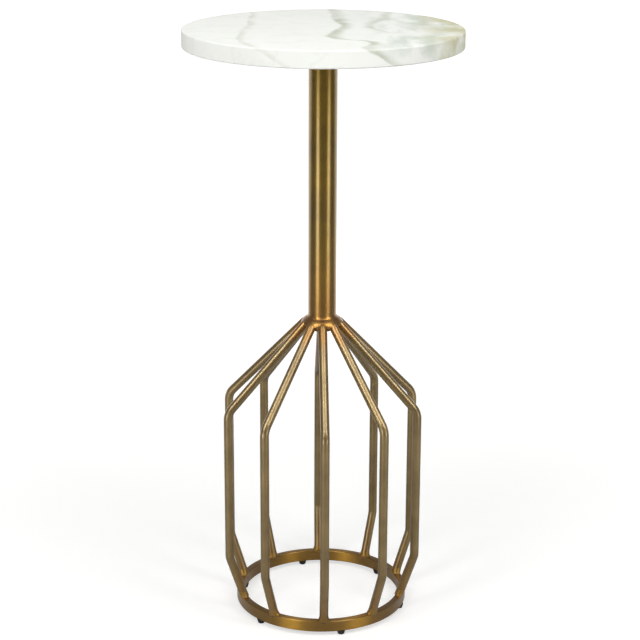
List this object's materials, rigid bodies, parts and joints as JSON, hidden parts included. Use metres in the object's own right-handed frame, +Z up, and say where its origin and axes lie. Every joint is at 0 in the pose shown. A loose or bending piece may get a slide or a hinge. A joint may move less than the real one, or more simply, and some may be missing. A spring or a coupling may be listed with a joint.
{
  "type": "side table",
  "caption": "Round marble slab on a brass-finished tube column, carried by a flared cage of bent rods on a flat-bar hoop with small rubber feet; holds drinks beside a seat.",
  "frame": {"origin": "on the floor, under the column's axis, level with the undersides of the feet", "axes": "+Z up along the column; -Y is the front, where one cage rod stands; +X to the right seen from the front"},
  "size_m": [0.305, 0.305, 0.672],
  "materials": {
    "marble": "honed white marble with grey-green veins",
    "antique_brass": "steel plated antique brass, satin lacquer",
    "zinc_steel": "zinc-plated steel",
    "insert_brass": "turned brass",
    "black_rubber": "matt black rubber"
  },
  "bodies": {
    "root": {"marble_top": "marble", "top_inserts": "insert_brass", "column_tube": "antique_brass", "column_end_disc": "antique_brass", "base_ring": "antique_brass", "mounting_plate": "antique_brass", "cage_rod_01": "antique_brass", "cage_rod_02": "antique_brass", "cage_rod_03": "antique_brass", "cage_rod_04": "antique_brass", "cage_rod_05": "antique_brass", "cage_rod_06": "antique_brass", "cage_rod_07": "antique_brass", "cage_rod_08": "antique_brass", "cage_rod_09": "antique_brass", "cage_rod_10": "antique_brass", "plate_washers": "zinc_steel", "plate_screws": "zinc_steel", "foot_1": "black_rubber", "foot_2": "black_rubber", "foot_3": "black_rubber", "foot_4": "black_rubber", "foot_5": "black_rubber", "foot_6": "black_rubber"}
  },
  "joints": []
}
